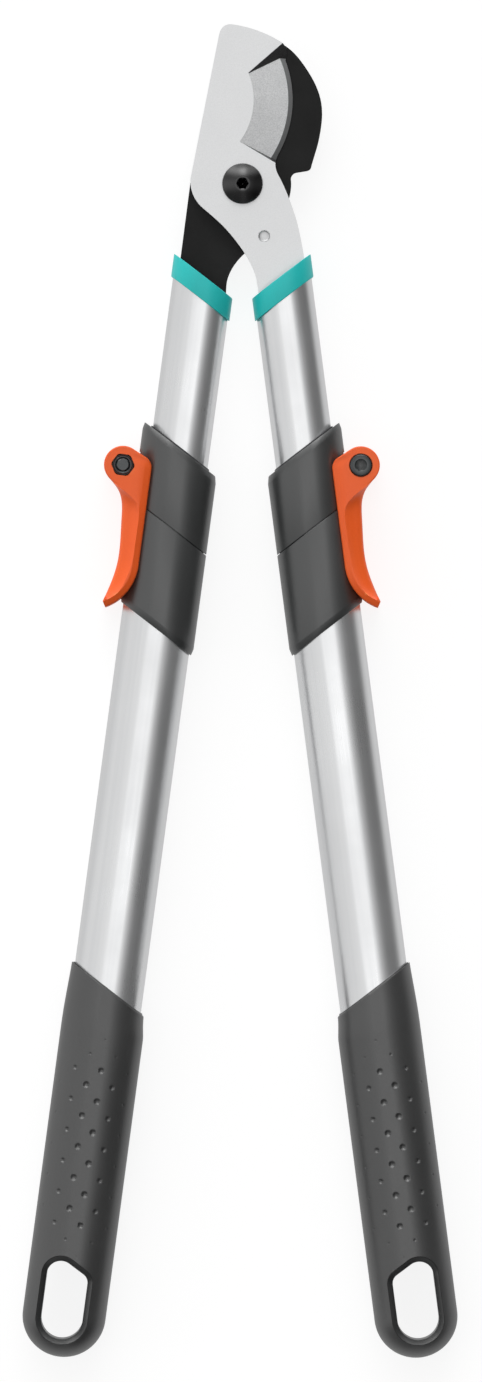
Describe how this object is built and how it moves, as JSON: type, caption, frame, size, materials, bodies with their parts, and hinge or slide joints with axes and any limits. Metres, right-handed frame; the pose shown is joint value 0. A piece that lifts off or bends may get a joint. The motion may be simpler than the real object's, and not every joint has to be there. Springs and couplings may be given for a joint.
{
  "type": "bypass loppers",
  "caption": "Telescopic bypass loppers: ground steel blade over a black hooked counter blade, slanted clamp collars with orange levers, aluminium tubes and dimpled soft grips.",
  "frame": {"origin": "middle of the tool's outline, on the surface it lies on, jaws closed and handles pushed in", "axes": "+Y runs up the tool to the blade's tip, +X to the cutting blade's handle, +Z out of the front face"},
  "size_m": [0.1698, 0.5202, 0.0289],
  "materials": {
    "blade_steel": "satin, non-stick silver coating; ground bevel at the edge",
    "coated_steel": "matte black non-stick coating",
    "black_oxide": "satin black oxide",
    "zinc_steel": "bright zinc plate",
    "pin_steel": "satin, finished flush",
    "tube_aluminium": "satin anodised, drawn lengthwise",
    "collar_plastic": "teal, fine satin",
    "insert_plastic": "plain moulded",
    "glide_plastic": "natural acetal",
    "housing_plastic": "anthracite, fine spark texture",
    "shoe_rubber": "matte",
    "lever_plastic": "orange, satin",
    "core_plastic": "anthracite, satin",
    "grip_rubber": "soft-touch matte, dimpled"
  },
  "bodies": {
    "counter_half": {"counter_blade": "coated_steel", "pivot_bolt": "black_oxide", "pivot_washer": "zinc_steel", "pivot_nut": "zinc_steel", "left_head_collar": "collar_plastic", "left_tang_insert": "insert_plastic", "left_tang_rivet": "pin_steel", "left_inner_tube": "tube_aluminium", "left_glide_plug": "glide_plastic"},
    "cutting_half": {"cutting_blade": "blade_steel", "stop_pin": "pin_steel", "right_head_collar": "collar_plastic", "right_tang_insert": "insert_plastic", "right_tang_rivet": "pin_steel", "right_inner_tube": "tube_aluminium", "right_glide_plug": "glide_plastic"},
    "left_draw_handle": {"left_outer_tube": "tube_aluminium", "left_guide_bush": "glide_plastic", "left_clamp_collar": "housing_plastic", "left_clamp_sleeve": "housing_plastic", "left_grip_core": "core_plastic", "left_grip_cover": "grip_rubber"},
    "left_lever": {"left_clamp_lever": "lever_plastic", "left_lever_bolt": "black_oxide", "left_lever_nut": "black_oxide"},
    "left_shoe": {"left_brake_shoe": "shoe_rubber"},
    "right_draw_handle": {"right_outer_tube": "tube_aluminium", "right_guide_bush": "glide_plastic", "right_clamp_collar": "housing_plastic", "right_clamp_sleeve": "housing_plastic", "right_grip_core": "core_plastic", "right_grip_cover": "grip_rubber"},
    "right_lever": {"right_clamp_lever": "lever_plastic", "right_lever_bolt": "black_oxide", "right_lever_nut": "black_oxide"},
    "right_shoe": {"right_brake_shoe": "shoe_rubber"}
  },
  "joints": [
    {"name": "jaw_hinge", "type": "hinge", "parent": "counter_half", "child": "cutting_half", "pos_m": [0, 0.19792, 0.01445], "axis": [0, 0, 1], "range_deg": [0, 72]},
    {"name": "left_telescope", "type": "slide", "parent": "counter_half", "child": "left_draw_handle", "axis": [-0.1305, -0.9914, 0], "range_m": [0, 0.15]},
    {"name": "left_lever_hinge", "type": "hinge", "parent": "left_draw_handle", "child": "left_lever", "pos_m": [-0.04635, 0.08806, 0.01445], "axis": [0, 0, -1], "range_deg": [0, 110]},
    {"name": "left_shoe_slide", "type": "slide", "parent": "left_draw_handle", "child": "left_shoe", "axis": [-0.9914, 0.1305, 0], "range_m": [0, 0.0006]},
    {"name": "right_telescope", "type": "slide", "parent": "cutting_half", "child": "right_draw_handle", "axis": [0.1305, -0.9914, 0], "range_m": [0, 0.15]},
    {"name": "right_lever_hinge", "type": "hinge", "parent": "right_draw_handle", "child": "right_lever", "pos_m": [0.04635, 0.08806, 0.01445], "axis": [0, 0, 1], "range_deg": [0, 110]},
    {"name": "right_shoe_slide", "type": "slide", "parent": "right_draw_handle", "child": "right_shoe", "axis": [0.9914, 0.1305, 0], "range_m": [0, 0.0006]}
  ],
  "couplings": [
    {"joint": "left_shoe_slide", "follows": "left_lever_hinge", "m_per_rad": 0.00026044},
    {"joint": "right_shoe_slide", "follows": "right_lever_hinge", "m_per_rad": 0.00026044}
  ]
}
